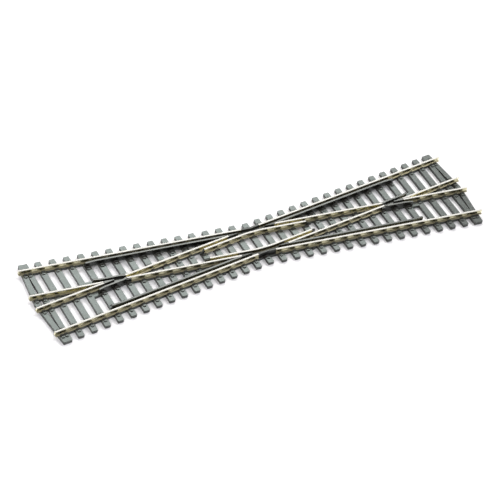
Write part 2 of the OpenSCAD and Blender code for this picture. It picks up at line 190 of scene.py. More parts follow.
KNUCKLE_X = KNUCKLE_GAP * CA
POINT_X = POINT_GAP * CA
CHECK_X = CHECK_SLEEPERS * PITCH
CHECK_S = (CHECK_X - CHECK_OFF * SA) / CA
CHECK_MID = (CHECK_OFF - CHECK_BEND / 2 * SA) / CA
LAST_X = (SIDE_SLEEPERS - 1) * PITCH + LAST_PITCH
END_S = HALF_LENGTH - END_OVERHANG - SLEEPER_W / 2
BOSS_X = (WIRE_SLEEPERS + 0.5) * PITCH
OUTER_WIRE_X = (math.ceil(VEE_X / PITCH) + 0.5) * PITCH
INNER_WIRE_X = (math.floor(CLOSURE_X / PITCH) - 0.5) * PITCH
GROOVE_W = WIRE_D + 2 * WIRE_PLAY
GUARD_R = HEAD_R + CHAIR_L / 2 * GUARD_FLARE / GUARD_FLARE_L
WING_R = HEAD_R + CHAIR_L / 2 * WING_FLARE / WING_FLARE_L


# Plan of the two tracks

def on_track(way, s, t):
    """Plan point s along and t to the left of track A (way 1) or track B (way -1)."""
    return (s * CA - way * t * SA, way * s * SA + t * CA)


def a_at(x, t):
    """Plan point at x on the line t to the left of track A."""
    return (x, (t + x * SA) / CA)


def b_at(x, t):
    """Plan point at x on the line t to the left of track B."""
    return (x, (t - x * SA) / CA)


def meet(u, v):
    """Plan point u to the left of track A and v to the left of track B."""
    return ((v - u) / (2 * SA), (u + v) / (2 * CA))


def along(way, x, t):
    """Distance along its track of the point at x on the line t to its left."""
    return (x + way * t * SA) / CA


def turned(points, sx, sy):
    """Points turned over to another quarter of the plan."""
    return [(sx * x, sy * y) for x, y in points]


def bar_outline(path):
    """Outline of a bar of railhead width whose centre follows a path."""
    r = HEAD_R / CA
    return [(x, y + r) for x, y in path] + [(x, y - r) for x, y in reversed(path)]


# Mesh making

def counter_clockwise(outline):
    area = sum(p[0] * q[1] - q[0] * p[1] for p, q in zip(outline, outline[1:] + outline[:1]))
    return list(outline) if area > 0 else list(reversed(outline))


def inset(outline, depth):
    """A counter-clockwise outline drawn in by depth."""
    drawn = []
    for i, corner in enumerate(outline):
        before, after = Vector(outline[i - 1]), Vector(outline[(i + 1) % len(outline)])
        a, b = (Vector(corner) - before).normalized(), (after - Vector(corner)).normalized()
        na, nb = Vector((-a.y, a.x)), Vector((-b.y, b.x))
        drawn.append(tuple(Vector(corner) + (na + nb) * (depth / (1 + na.dot(nb)))))
    return drawn


def rounded(outline, radius, steps=4):
    """A counter-clockwise outline of right-angled corners with each corner rounded off."""
    points = []
    for i, corner in enumerate(outline):
        corner = Vector(corner)
        back = (Vector(outline[i - 1]) - corner).normalized()
        ahead = (Vector(outline[(i + 1) % len(outline)]) - corner).normalized()
        centre = corner + (back + ahead) * radius
        for k in range(steps + 1):
            turn = math.pi / 2 * k / steps
            points.append(tuple(centre - ahead * radius * math.cos(turn) - back * radius * math.sin(turn)))
    return points


def moulded_block(bm, outline, low, high, edge):
    """Closed prism over a plan outline with softened upper edges, as a mould tool leaves them. Returns
    the points above its underside."""
    outline = counter_clockwise(outline)
    rings = []
    turn = ROUND_SHARE * edge
    for depth, z in ((0, low), (0, high - edge), (turn, high - turn), (edge, high)):
        rings.append([bm.verts.new((x * MM, y * MM, z * MM)) for x, y in inset(outline, depth)])
    for lower, upper in zip(rings, rings[1:]):
        for i in range(len(outline)):
            j = (i + 1) % len(outline)
            bm.faces.new((lower[i], lower[j], upper[j], upper[i]))
    bm.faces.new(rings[-1])
    bm.faces.new(list(reversed(rings[0])))
    return [v for ring in rings[1:] for v in ring]


def swept_bar(bm, section, stations):
    """Closed bar of one section; a station is its plan centre and the plan vector that points across."""
    rings = []
    for (cx, cy), (ax, ay) in stations:
        rings.append([bm.verts.new(((cx + ax * y) * MM, (cy + ay * y) * MM, z * MM)) for y, z in section])
    for near, far in zip(rings, rings[1:]):
        for i in range(len(section)):
            j = (i + 1) % len(section)
            bm.faces.new((near[i], near[j], far[j], far[i]))
    bm.faces.new(list(reversed(rings[0])))
    bm.faces.new(rings[-1])


def piece(name, bm, material, replaces=(), smooth_below=None):
    """Turns a mesh into a named piece of the crossing."""
    bmesh.ops.recalc_face_normals(bm, faces=bm.faces)
    mesh = bpy.data.meshes.new(name)
    bm.to_mesh(mesh)
    bm.free()
    mesh.materials.append(material)
    if smooth_below is not None:
        mesh.polygons.foreach_set("use_smooth", [True] * len(mesh.polygons))
        mesh.set_sharp_from_angle(angle=math.radians(smooth_below))
    obj = bpy.data.objects.new(name, mesh)
    bpy.context.scene.collection.objects.link(obj)
    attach(obj, "root")
    if replaces:
        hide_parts(*replaces)
    return obj


# Materials

def linear(hex_colour):
    """Linear RGBA of an sRGB hex colour."""
    parts = [int(hex_colour[i:i + 2], 16) / 255 for i in (1, 3, 5)]
    return (*[p / 12.92 if p <= 0.04045 else ((p + 0.055) / 1.055) ** 2.4 for p in parts], 1.0)


def add_node(tree, kind, inputs=None, **settings):
    """Adds one node with its settings; an input is a value or the socket that feeds it."""
    node = tree.nodes.new(kind)
    for key, value in settings.items():
        setattr(node, key, value)
    for key, value in (inputs or {}).items():
        if isinstance(value, bpy.types.NodeSocket):
            tree.links.new(value, node.inputs[key])
        else:
            node.inputs[key].default_value = value
    return node


def new_material(name):
    """An empty node material and the tree to fill."""
    material = bpy.data.materials.new(name)
    material.use_nodes = True
    material.node_tree.nodes.clear()
    return material, material.node_tree


def per_mm(size):
    """Texture scale that gives a feature of that many millimetres on coordinates in metres."""
    return 1 / (size * MM)


def sleeper_polystyrene():
    """Injection-moulded polystyrene in near-black grey with a fine wood grain in the tool. Its satin
    skin takes an even grey sheen from the softbox on top and stays dark on the sides."""
    material, tree = new_material("moulded_polystyrene_sleepers")
    place = add_node(tree, "ShaderNodeTexCoord").outputs["Object"]
    # Grain lines of 0.3 mm across the sleeper and 6 mm along it
    grain_place = add_node(tree, "ShaderNodeMapping", {
        "Vector": place, "Scale": (per_mm(0.3), per_mm(6), per_mm(0.3))})
    grain = add_node(tree, "ShaderNodeTexNoise", {
        "Vector": grain_place.outputs["Vector"], "Scale": 1.0, "Detail": 3.0, "Roughness": 0.55})
    # Patches of 5 mm where the mould was polished a little more or less
    patches = add_node(tree, "ShaderNodeTexNoise", {
        "Vector": place, "Scale": per_mm(5), "Detail": 2.0, "Roughness": 0.5})
    colour = add_node(tree, "ShaderNodeMix", {
        0: patches.outputs["Fac"], 6: linear("#322f2c"), 7: linear("#3f3c38")}, data_type="RGBA")
    gloss = add_node(tree, "ShaderNodeMapRange", {
        "Value": patches.outputs["Fac"], "From Min": 0.3, "From Max": 0.7, "To Min": 0.25, "To Max": 0.32})
    relief = add_node(tree, "ShaderNodeBump", {
        "Height": grain.outputs["Fac"], "Strength": 0.35, "Distance": 0.02 * MM})
    shader = add_node(tree, "ShaderNodeBsdfPrincipled", {
        "Base Color": colour.outputs[2], "Roughness": gloss.outputs["Result"],
        "Normal": relief.outputs["Normal"], "IOR": 1.6, "Specular Tint": (0.82, 1.0, 0.98, 1.0)})
    add_node(tree, "ShaderNodeOutputMaterial", {"Surface": shader.outputs["BSDF"]})
    return material


def black_polystyrene(name, satin_low, satin_high):
    """The same plastic moulded black and smooth for frogs and guards: a cooler grey sheen on top, deep
    black sides, and faint scuffs along the track where wheels touch."""
    material, tree = new_material(name)
    place = add_node(tree, "ShaderNodeTexCoord").outputs["Object"]
    # Scuffs of 0.5 mm across and 4 mm along the track
    scuff_place = add_node(tree, "ShaderNodeMapping", {
        "Vector": place, "Scale": (per_mm(4), per_mm(0.5), per_mm(1))})
    scuff = add_node(tree, "ShaderNodeTexNoise", {
        "Vector": scuff_place.outputs["Vector"], "Scale": 1.0, "Detail": 4.0, "Roughness": 0.6})
    colour = add_node(tree, "ShaderNodeMix", {
        0: scuff.outputs["Fac"], 6: linear("#1b1a17"), 7: linear("#292723")}, data_type="RGBA")
    gloss = add_node(tree, "ShaderNodeMapRange", {
        "Value": scuff.outputs["Fac"], "From Min": 0.3, "From Max": 0.7,
        "To Min": satin_low, "To Max": satin_high})
    relief = add_node(tree, "ShaderNodeBump", {
        "Height": scuff.outputs["Fac"], "Strength": 0.2, "Distance": 0.02 * MM})
    shader = add_node(tree, "ShaderNodeBsdfPrincipled", {
        "Base Color": colour.outputs[2], "Roughness": gloss.outputs["Result"],
        "Normal": relief.outputs["Normal"], "IOR": 1.6, "Specular Tint": (0.93, 1.0, 0.96, 1.0)})
    add_node(tree, "ShaderNodeOutputMaterial", {"Surface": shader.outputs["BSDF"]})
    return material


def rail_nickel_silver():
    """Drawn nickel silver. The running surface is rubbed to an even pale grey. The smooth sides keep a
    thin yellowish film and mirror the sleepers and the gaps between them; the foot is rougher and coloured a
    darker tan."""
    material, tree = new_material("drawn_nickel_silver_rail")
    place = add_node(tree, "ShaderNodeTexCoord").outputs["Object"]
    height = add_node(tree, "ShaderNodeSeparateXYZ", {"Vector": place}).outputs["Z"]
    # The rubbed band begins 0.2 mm below the top; the darker colour band of the foot ends 0.75 mm up the rail
    bright = add_node(tree, "ShaderNodeMapRange", {
        "Value": height, "From Min": (TOP_Z - 0.2) * MM, "From Max": (TOP_Z - 0.05) * MM},
        interpolation_type="SMOOTHSTEP")
    darker_foot = add_node(tree, "ShaderNodeMapRange", {
        "Value": height, "From Min": (SLEEPER_T + 0.75) * MM, "From Max": (SLEEPER_T + 0.45) * MM},
        interpolation_type="SMOOTHSTEP")
    # Drawing lines of 0.12 mm across and 12 mm along the rail
    line_place = add_node(tree, "ShaderNodeMapping", {
        "Vector": place, "Scale": (per_mm(12), per_mm(0.12), per_mm(0.12))})
    lines = add_node(tree, "ShaderNodeTexNoise", {
        "Vector": line_place.outputs["Vector"], "Scale": 1.0, "Detail": 2.0, "Roughness": 0.5})
    # Tarnish clouds of 4 mm
    tarnish = add_node(tree, "ShaderNodeTexNoise", {
        "Vector": place, "Scale": per_mm(4), "Detail": 3.0, "Roughness": 0.55})
    film = add_node(tree, "ShaderNodeMix", {
        0: tarnish.outputs["Fac"], 6: linear("#e3deb7"), 7: linear("#eee9c9")}, data_type="RGBA")
    # Below the film the rail is coloured a darker tan towards the foot
    sides = add_node(tree, "ShaderNodeMix", {
        0: darker_foot.outputs["Result"], 6: film.outputs[2], 7: linear("#a8a185")}, data_type="RGBA")
    colour = add_node(tree, "ShaderNodeMix", {
        0: bright.outputs["Result"], 6: sides.outputs[2], 7: linear("#abaaa6")}, data_type="RGBA")
    # Head and upper web are drawn smooth; the foot is duller
    side_gloss = add_node(tree, "ShaderNodeMapRange", {
        "Value": height, "From Min": (SLEEPER_T + 0.7) * MM, "From Max": (SLEEPER_T + 1.0) * MM,
        "To Min": 0.42, "To Max": 0.2}, interpolation_type="SMOOTHSTEP")
    gloss = add_node(tree, "ShaderNodeMix", {
        0: bright.outputs["Result"], 2: side_gloss.outputs["Result"], 3: 0.55})
    relief = add_node(tree, "ShaderNodeBump", {
        "Height": lines.outputs["Fac"], "Strength": 0.05, "Distance": 0.01 * MM})
    shader = add_node(tree, "ShaderNodeBsdfPrincipled", {
        "Base Color": colour.outputs[2], "Metallic": 1.0, "Roughness": gloss.outputs[0],
        "Normal": relief.outputs["Normal"]})
    add_node(tree, "ShaderNodeOutputMaterial", {"Surface": shader.outputs["BSDF"]})
    return material


def jumper_copper():
    """Plain drawn copper wire, browned by the air, brighter along the draw lines."""
    material, tree = new_material("drawn_copper_wire")
    place = add_node(tree, "ShaderNodeTexCoord").outputs["Object"]
    # Draw lines of 0.1 mm across and 5 mm along
    line_place = add_node(tree, "ShaderNodeMapping", {
        "Vector": place, "Scale": (per_mm(5), per_mm(0.1), per_mm(0.1))})
    lines = add_node(tree, "ShaderNodeTexNoise", {
        "Vector": line_place.outputs["Vector"], "Scale": 1.0, "Detail": 2.0})
    colour = add_node(tree, "ShaderNodeMix", {
        0: lines.outputs["Fac"], 6: linear("#8a5433"), 7: linear("#c98a5e")}, data_type="RGBA")
    shader = add_node(tree, "ShaderNodeBsdfPrincipled", {
        "Base Color": colour.outputs[2], "Metallic": 1.0, "Roughness": 0.35})
    add_node(tree, "ShaderNodeOutputMaterial", {"Surface": shader.outputs["BSDF"]})
    return material


def sweep_paper():
    """Matt white paper sweep with a faint tooth, lit to plain white."""
    material, tree = new_material("matt_paper_sweep")
    place = add_node(tree, "ShaderNodeTexCoord").outputs["Object"]
    # Paper tooth of 0.8 mm
    tooth = add_node(tree, "ShaderNodeTexNoise", {"Vector": place, "Scale": per_mm(0.8), "Detail": 2.0})
    colour = add_node(tree, "ShaderNodeMix", {
        0: tooth.outputs["Fac"], 6: linear("#eeedef"), 7: linear("#f3f2f4")}, data_type="RGBA")
    shader = add_node(tree, "ShaderNodeBsdfPrincipled", {
        "Base Color": colour.outputs[2], "Roughness": 0.9, "Specular IOR Level": 0.1})
    add_node(tree, "ShaderNodeOutputMaterial", {"Surface": shader.outputs["BSDF"]})
    return material


SLEEPER_PLASTIC = sleeper_polystyrene()
GUARD_PLASTIC = black_polystyrene("moulded_polystyrene_guards", 0.23, 0.31)
ACUTE_PLASTIC = black_polystyrene("moulded_polystyrene_acute_frogs", 0.2, 0.28)
OBTUSE_PLASTIC = black_polystyrene("moulded_polystyrene_obtuse_frogs", 0.42, 0.5)
RAIL_METAL = rail_nickel_silver()
WIRE_METAL = jumper_copper()


# Rails

def rail_section():
    """Flat-bottomed rail with a crowned head, fillets at the web and a sloping foot. The points go up the
    right side; their small offsets are the roundings that the drawing die leaves."""
    web, slope = WEB_W / 2, RAIL_H - HEAD_H
    right = [
        (FOOT_R - 0.03, 0), (FOOT_R, 0.03), (FOOT_R, FOOT_EDGE_H - 0.04), (FOOT_R - 0.05, FOOT_EDGE_H),
        (web + 0.14, FOOT_H - 0.04), (web + 0.04, FOOT_H + 0.03), (web, FOOT_H + 0.14),
        (web, slope - 0.1), (web + 0.03, slope + 0.01), (HEAD_R - 0.04, slope + 0.19),
        (HEAD_R, slope + 0.26), (HEAD_R, RAIL_H - 0.17), (HEAD_R - 0.03, RAIL_H - 0.08),
        (HEAD_R - 0.1, RAIL_H - 0.025), (HEAD_R - 0.22, RAIL_H - 0.005), (0.12, RAIL_H)]
    both = right + [(-y, z) for y, z in reversed(right)]
    return [(y, SLEEPER_T + z) for y, z in both]


SECTION = rail_section()


def straight_rail(bm, way, s0, s1, t):
    """Straight rail along track A (way 1) or B (way -1), t to its left."""
    across = (-way * SA, CA)
    swept_bar(bm, SECTION, [(on_track(way, s, t), across) for s in (s0, s1)])


def planed(bm, side):
    """Cuts a rail along the slit on the long axis and closes the planed face."""
    cut = bmesh.ops.bisect_plane(
        bm, geom=bm.verts[:] + bm.edges[:] + bm.faces[:], plane_co=(0, side * VEE_SLIT / 2 * MM, 0),
        plane_no=(0, -side, 0), clear_outer=True)
    edges = [e for e in cut["geom_cut"] if isinstance(e, bmesh.types.BMEdge)]
    bmesh.ops.holes_fill(bm, edges=edges)


def lay_rails():
    """Stock, vee and closure rails in the four quarters."""
    for sy_name, sy in (("north", 1), ("south", -1)):
        for sx_name, sx in (("west", -1), ("east", 1)):
            way = sx * sy
            bm = bmesh.new()
            near = OBTUSE_S + KNUCKLE_GAP
            straight_rail(bm, way, *((near, HALF_LENGTH) if sx > 0 else (-HALF_LENGTH, -near)), sy * RAIL_OFF)
            name = f"stock_rail_{sy_name}_{sx_name}"
            piece(name + "_drawn", bm, RAIL_METAL, [name], RAIL_SMOOTH)

            bm = bmesh.new()
            tip = ACUTE_S + VEE_GAP
            straight_rail(bm, way, *((tip, HALF_LENGTH) if sx > 0 else (-HALF_LENGTH, -tip)), -sy * RAIL_OFF)
            planed(bm, sy)
            name = f"vee_rail_{sx_name}_{sy_name}"
            piece(name + "_drawn", bm, RAIL_METAL, [name], RAIL_SMOOTH)

            bm = bmesh.new()
            inner, outer = POINT_GAP - OBTUSE_S, ACUTE_S - CLOSURE_GAP
            straight_rail(bm, -way, *((inner, outer) if sx > 0 else (-outer, -inner)), sy * RAIL_OFF)
            planed(bm, sy)
            name = f"closure_rail_{sy_name}_{sx_name}"
            piece(name + "_drawn", bm, RAIL_METAL, [name], RAIL_SMOOTH)


def lay_check_rails():
    """Check rails of the obtuse crossings, bent smoothly where the legs meet the middle."""
    bend, ease = CHECK_BEND / 2, CHECK_EASE
    for side, side_name in ((1, "north"), (-1, "south")):
        half = []
        for k in range(CHECK_EASE_STEPS + 1):
            u = k / CHECK_EASE_STEPS
            lean = HALF_ANGLE * u
            x = bend - ease + 2 * ease * u
            y = CHECK_MID - ease * math.tan(HALF_ANGLE) * u * u
            half.append(((x, side * y), (side * math.sin(lean), math.cos(lean))))
        tip = on_track(-side, CHECK_S, side * CHECK_OFF)
        half.append((tip, (side * SA, CA)))
        stations = [((-x, y), (-ax, ay)) for (x, y), (ax, ay) in reversed(half)] + half
        bm = bmesh.new()
        swept_bar(bm, SECTION, stations)
        name = f"check_rail_{side_name}"
        piece(name + "_bent", bm, RAIL_METAL, [name], RAIL_SMOOTH)


# Sleeper base

def sleeper_places():
    return [i * PITCH for i in range(1 - SIDE_SLEEPERS, SIDE_SLEEPERS)] + [-LAST_X, LAST_X]


def sleeper_end(x):
    return (RAIL_OFF + abs(x) * SA) / CA + SLEEPER_REACH


def add_sleepers(bm):
    """Cross sleepers and the four end sleepers that lie square to their own track."""
    w = SLEEPER_W / 2
    for x in sleeper_places():
        h = sleeper_end(x)
        x0, x1 = x - w, x + w
        if abs(x) == LAST_X:
            x0, x1 = (x0 + END_SLIT, x1) if x < 0 else (x0, x1 - END_SLIT)
        outline = rounded([(x0, -h), (x1, -h), (x1, h), (x0, h)], SLEEPER_CORNER)
        moulded_block(bm, outline, 0, SLEEPER_T, EDGE)
    out, inn = END_S + w, END_S - w + END_SLIT
    reach = RAIL_OFF + SLEEPER_REACH
    turn = ROUND_SHARE * SLEEPER_CORNER
    end = [on_track(-1, -inn, reach), on_track(-1, SLEEPER_CORNER - out, reach),
           on_track(-1, turn - out, reach - turn),
           on_track(-1, -out, reach - SLEEPER_CORNER), on_track(-1, -out, -out * SA / CA),
           on_track(-1, -inn, -inn * SA / CA)]
    # The joint ties the end sleeper to the last cross sleeper outside the rail
    joint_in = on_track(-1, -END_S, RAIL_OFF - FOOT_R)
    joint = [joint_in, on_track(-1, -END_S, reach), (-LAST_X, sleeper_end(LAST_X)), (-LAST_X, joint_in[1])]
    for sx in (-1, 1):
        for sy in (-1, 1):
            moulded_block(bm, turned(end, -sx, sy), 0, SLEEPER_T - END_DROP, EDGE)
            moulded_block(bm, turned(joint, -sx, sy), 0, SLEEPER_T - JOINT_DROP, EDGE)


def add_ties(bm):
    """Webs under the rails that tie the sleepers, hollow underneath where a wire lies."""
    low, high, r, g = TIE_LIFT, SLEEPER_T - TIE_DROP, TIE_W / 2, GROOVE_W / 2
    for way, wire_z in ((1, WIRE_LOW), (-1, WIRE_HIGH)):
        roof = wire_z + WIRE_D / 2 + WIRE_PLAY
        plain = [(-r, low), (r, low), (r, high), (-r, high)]
        hollow = [(-r, low), (-g, low), (-g, roof), (g, roof), (g, low), (r, low), (r, high), (-r, high)]
        for t in (RAIL_OFF, -RAIL_OFF):
            sx = -1 if t * way > 0 else 1
            wires = sorted([sorted((along(way, sx * INNER_WIRE_X, t), along(way, sx * OUTER_WIRE_X, t))),
                            [along(way, -BOSS_X, t), along(way, BOSS_X, t)]])
            cuts = [-END_S, *wires[0], *wires[1], END_S]
            for k, (s0, s1) in enumerate(zip(cuts, cuts[1:])):
                across = (-way * SA, CA)
                swept_bar(bm, hollow if k % 2 else plain, [(on_track(way, s, t), across) for s in (s0, s1)])


def add_beds(bm):
    """Beds under the acute frogs, plates beside the vees, bosses round the wire ends."""
    edge = HEAD_R / CA
    for sx in (-1, 1):
        rim = [a_at(-CLOSURE_X, RAIL_OFF), b_at(-JOIN_X, -WING_OFF), b_at(-WING_X, -WING_OFF)]
        rim = [(x, y + edge) for x, y in rim]
        bed = rim + [(x, -y) for x, y in reversed(rim)]
        moulded_block(bm, turned(bed, -sx, 1), TIE_LIFT, SLEEPER_T - BED_DROP, BED_EDGE)
        for sy in (-1, 1):
            x0, x1 = -OUTER_WIRE_X - PITCH / 2, -OUTER_WIRE_X + PITCH / 2
            inner, outer = TIE_W / 4 - RAIL_OFF, PLATE_REACH - RAIL_OFF
            plate = [b_at(x0, inner), b_at(x1, inner), b_at(x1, outer), b_at(x0, outer)]
            moulded_block(bm, turned(plate, sx, sy), TIE_LIFT, SLEEPER_T - BED_DROP, PLATE_EDGE)
            y = b_at(-BOSS_X, RAIL_OFF)[1]
            boss = [(BOSS_X - BOSS_L / 2, y - BOSS_W / 2), (BOSS_X + BOSS_L / 2, y - BOSS_W / 2),
                    (BOSS_X + BOSS_L / 2, y + BOSS_W / 2), (BOSS_X - BOSS_L / 2, y + BOSS_W / 2)]
            moulded_block(bm, turned(boss, sx, sy), TIE_LIFT, SLEEPER_T - BOSS_DROP, BOSS_EDGE)


def add_guard_webs(bm):
    """Shallow webs between the sleepers, flush with the guard rails above them."""
    r = (HEAD_R - GUARD_WEB_INSET) / CA
    inner_x, outer_x = GUARD_WEB_START * PITCH, math.floor(GUARD_X / PITCH) * PITCH
    bend_x = GUARD_X - GUARD_FLARE_L
    set_over = flare_at(outer_x, GUARD_X, GUARD_FLARE_L, GUARD_FLARE)
    path = [b_at(-inner_x, CHECK_OFF), b_at(-bend_x, CHECK_OFF), b_at(-outer_x, CHECK_OFF - set_over)]
    web = [(x, y + r) for x, y in path] + [(x, y - r) for x, y in reversed(path)]
    for sx in (-1, 1):
        for sy in (-1, 1):
            moulded_block(bm, turned(web, sx, sy), SLEEPER_T - GUARD_WEB_H, SLEEPER_T - WEB_DROP, WEB_EDGE)


def add_check_ramps(bm):
    """Ramps that lead a wheel into the bent check rails, sloping down away from them."""
    for sx in (-1, 1):
        for sy in (-1, 1):
            start = a_at(-CHECK_X - END_GAP, CHECK_OFF)
            finish = a_at(-CHECK_X - RAMP_L, CHECK_OFF - RAMP_FLARE)
            ramp = turned(bar_outline([start, finish]), sx, sy)
            upper = moulded_block(bm, ramp, SLEEPER_T, TOP_Z - RAMP_DROP, BAR_EDGE)
            for v in upper:
                v.co.z -= RAMP_FALL * (abs(v.co.x) - CHECK_X * MM)


def flare_at(x, x_end, length, flare):
    """How far a bar that flares toward x_end has left its line at x."""
    return flare * max(0, abs(x) - x_end + length) / length


def bars_at(x):
    """What stands on the sleeper at x: place across, half width, lean, side to hold (0 for both), a foot
    to clip or not, reach of its chairs."""
    bars = []
    for k in (-1, 1):
        if abs(x) < CHAIR_L:
            bars.append((a_at(x, k * RAIL_OFF)[1], FOOT_R, 0, 0, True, CHAIR_REACH))
        else:
            bars.append((a_at(x, k * RAIL_OFF)[1], FOOT_R, HALF_ANGLE, 0, True, CHAIR_REACH))
            bars.append((b_at(x, k * RAIL_OFF)[1], FOOT_R, -HALF_ANGLE, 0, True, CHAIR_REACH))
        east = math.copysign(1, x)
        if POINT_X <= abs(x) <= GUARD_X + CHAIR_L / 2:
            y = b_at(-abs(x), CHECK_OFF - flare_at(x, GUARD_X, GUARD_FLARE_L, GUARD_FLARE))[1]
            bars.append((k * y, GUARD_R, k * east * HALF_ANGLE, -k, False, CHAIR_REACH))
        if abs(x) <= CHECK_X + RAMP_L + CHAIR_L / 2:
            y = min(CHECK_MID, a_at(-abs(x), CHECK_OFF)[1])
            lean = 0 if abs(x) < CHECK_BEND / 2 else -k * east * HALF_ANGLE
            bars.append((k * y, FOOT_R, lean, -k, True, CHECK_CHAIR_REACH))
        if CLOSURE_X - CHAIR_L <= abs(x) <= WING_X + CHAIR_L / 2:
            y = b_at(-abs(x), flare_at(x, WING_X, WING_FLARE_L, WING_FLARE) - WING_OFF)[1]
            bars.append((k * y, WING_R, k * east * HALF_ANGLE, k, False, CHAIR_REACH))
    return bars


def chair_places():
    """Where each chair meets its bar: plan point, lean, side, a foot to clip or not, reach."""
    places = []
    for x in sleeper_places():
        bars = bars_at(x)
        for y0, r, lean, hold, foot, reach in bars:
            for side in ((-1, 1) if hold == 0 else (hold,)):
                y = y0 + side * (r + FIT_GAP) / CA
                clear = [(b[0] - y) * side * CA - b[1] for b in bars if (b[0] - y) * side > 0]
                inside = any(abs(b[0] - y) * CA < b[1] for b in bars)
                ahead = min(clear, default=math.inf)
                if side * y < 0:
                    ahead = min(ahead, abs(y))
                if not inside and ahead > CHAIR_W:
                    room = reach if ahead > reach + CHAIR_CLEAR else CHAIR_W
                    places.append(((x, y), lean, side, foot, room))
    for way in (-1, 1):
        for s in (-END_S, END_S):
            for t in (-RAIL_OFF, RAIL_OFF):
                for side in (-1, 1):
                    edge = on_track(way, s, t + side * (FOOT_R + FIT_GAP))
                    reach = CHAIR_REACH if abs(edge[1]) > CHAIR_REACH else CHAIR_W
                    places.append((edge, way * HALF_ANGLE, side, True, reach))
    return places


def jaw_section(foot):
    """Side view of a chair jaw: a slope down to a low wall, with a lip over the rail foot if there is one."""
    lip = [(-JAW_LIP, JAW_H), (-JAW_LIP, JAW_H - JAW_LIP), (0, JAW_H - 2 * JAW_LIP)]
    outline = [(0, 0), (JAW_L, 0), (JAW_L, JAW_TOE_H), (CHAIR_EDGE, JAW_H)] + (lip if foot else [(0, JAW_H)])
    return [(b, SLEEPER_T + z) for b, z in outline]


def set_chairs():
    """Chairs: a jaw that holds the rail foot and, where there is room, a seat with a screw beside it."""
    chairs, screws = bmesh.new(), bmesh.new()
    seat_top = SLEEPER_T + SEAT_H
    seat = rounded([(-SEAT_R, SEAT_START), (SEAT_R, SEAT_START),
                    (SEAT_R, CHAIR_REACH), (-SEAT_R, CHAIR_REACH)], SEAT_CORNER)
    middle = (SEAT_START + CHAIR_REACH) / 2
    corners = [math.pi * k / 4 for k in range(8)]
    screw = [(SCREW_R * math.cos(c), middle + SCREW_R * math.sin(c)) for c in corners]
    half, depth = CHECK_SEAT_L / 2, CHECK_CHAIR_REACH / 2
    check_seat = [(-half, 0), (half, 0), (half, depth), (-half, depth)]
    for (cx, cy), lean, side, foot, reach in chair_places():
        u, v = (math.cos(lean), math.sin(lean)), (-side * math.sin(lean), side * math.cos(lean))

        def at(a, b):
            return (cx + u[0] * a + v[0] * b, cy + u[1] * a + v[1] * b)

        swept_bar(chairs, jaw_section(foot), [(at(a, 0), v) for a in (-JAW_R, JAW_R)])
        if reach == CHECK_CHAIR_REACH:
            moulded_block(chairs, [at(*q) for q in check_seat], SLEEPER_T, seat_top, CHECK_SEAT_EDGE)
        if reach == CHAIR_REACH:
            moulded_block(chairs, [at(*q) for q in seat], SLEEPER_T, seat_top, CHAIR_EDGE)
            moulded_block(screws, [at(*q) for q in screw], seat_top, seat_top + SCREW_H, CHAIR_EDGE)
    piece("rail_chairs", chairs, SLEEPER_PLASTIC)
    piece("chair_screws", screws, SLEEPER_PLASTIC)


def mould_sleeper_base():
    bm = bmesh.new()
    add_sleepers(bm)
    add_ties(bm)
    add_beds(bm)
    add_guard_webs(bm)
    add_check_ramps(bm)
    piece("sleeper_base_moulded", bm, SLEEPER_PLASTIC, ["sleeper_base"])


# Frogs and guard rails

def mould_acute_frog(name, sx):
    """Flangeway floor, blunt nose with the fin between the vee rails, and two flared wing rails."""
    bm = bmesh.new()
    stop_x = VEE_X - END_GAP
    start, join = a_at(-CLOSURE_X - END_GAP, RAIL_OFF), b_at(-JOIN_X, -WING_OFF)
    stop = b_at(-stop_x, -WING_OFF)
    bend, free = b_at(WING_FLARE_L - WING_X, -WING_OFF), b_at(-WING_X, WING_FLARE - WING_OFF)
    half = [start, join, stop]
    floor = half + [(x, -y) for x, y in reversed(half)]
    moulded_block(bm, turned(floor, sx, 1), SLEEPER_T, FLOOR_Z, FLOOR_EDGE)
    wing = bar_outline([start, join, bend, free])
    for sy in (-1, 1):
        moulded_block(bm, turned(wing, sx, sy), SLEEPER_T, TOP_Z, BAR_EDGE)
    nose = [b_at(-stop_x, HEAD_R - RAIL_OFF), b_at(-NOSE_X, HEAD_R - RAIL_OFF),
            a_at(-NOSE_X, RAIL_OFF - HEAD_R), a_at(-stop_x, RAIL_OFF - HEAD_R)]
    moulded_block(bm, turned(nose, sx, 1), SLEEPER_T, TOP_Z, NOSE_EDGE)
    # Cheeks that lap the outer sides of the closure rails
    root, face, back = RAIL_OFF, RAIL_OFF + HEAD_R + FIT_GAP, RAIL_OFF + FOOT_R
    root_x, gap_x, lap_x = -CLOSURE_X - CHEEK_ROOT, -CLOSURE_X - END_GAP, -CLOSURE_X + CHEEK_L
    cheek = [a_at(root_x, root), a_at(gap_x, root), a_at(gap_x, face),
             a_at(lap_x, face), a_at(lap_x, back), a_at(root_x, back)]
    for sy in (-1, 1):
        moulded_block(bm, turned(cheek, sx, sy), SLEEPER_T + FOOT_H + FIT_GAP, TOP_Z - CHEEK_DROP, NOSE_EDGE)
    r, end_x = VEE_SLIT / 2 - FIT_GAP, VEE_X + VEE_GAP
    fin = [(-stop_x, r), (-end_x, r), (-end_x, -r), (-stop_x, -r)]
    moulded_block(bm, turned(fin, sx, 1), SLEEPER_T, TOP_Z, FIN_EDGE)
    piece(name + "_moulded", bm, ACUTE_PLASTIC, [name])


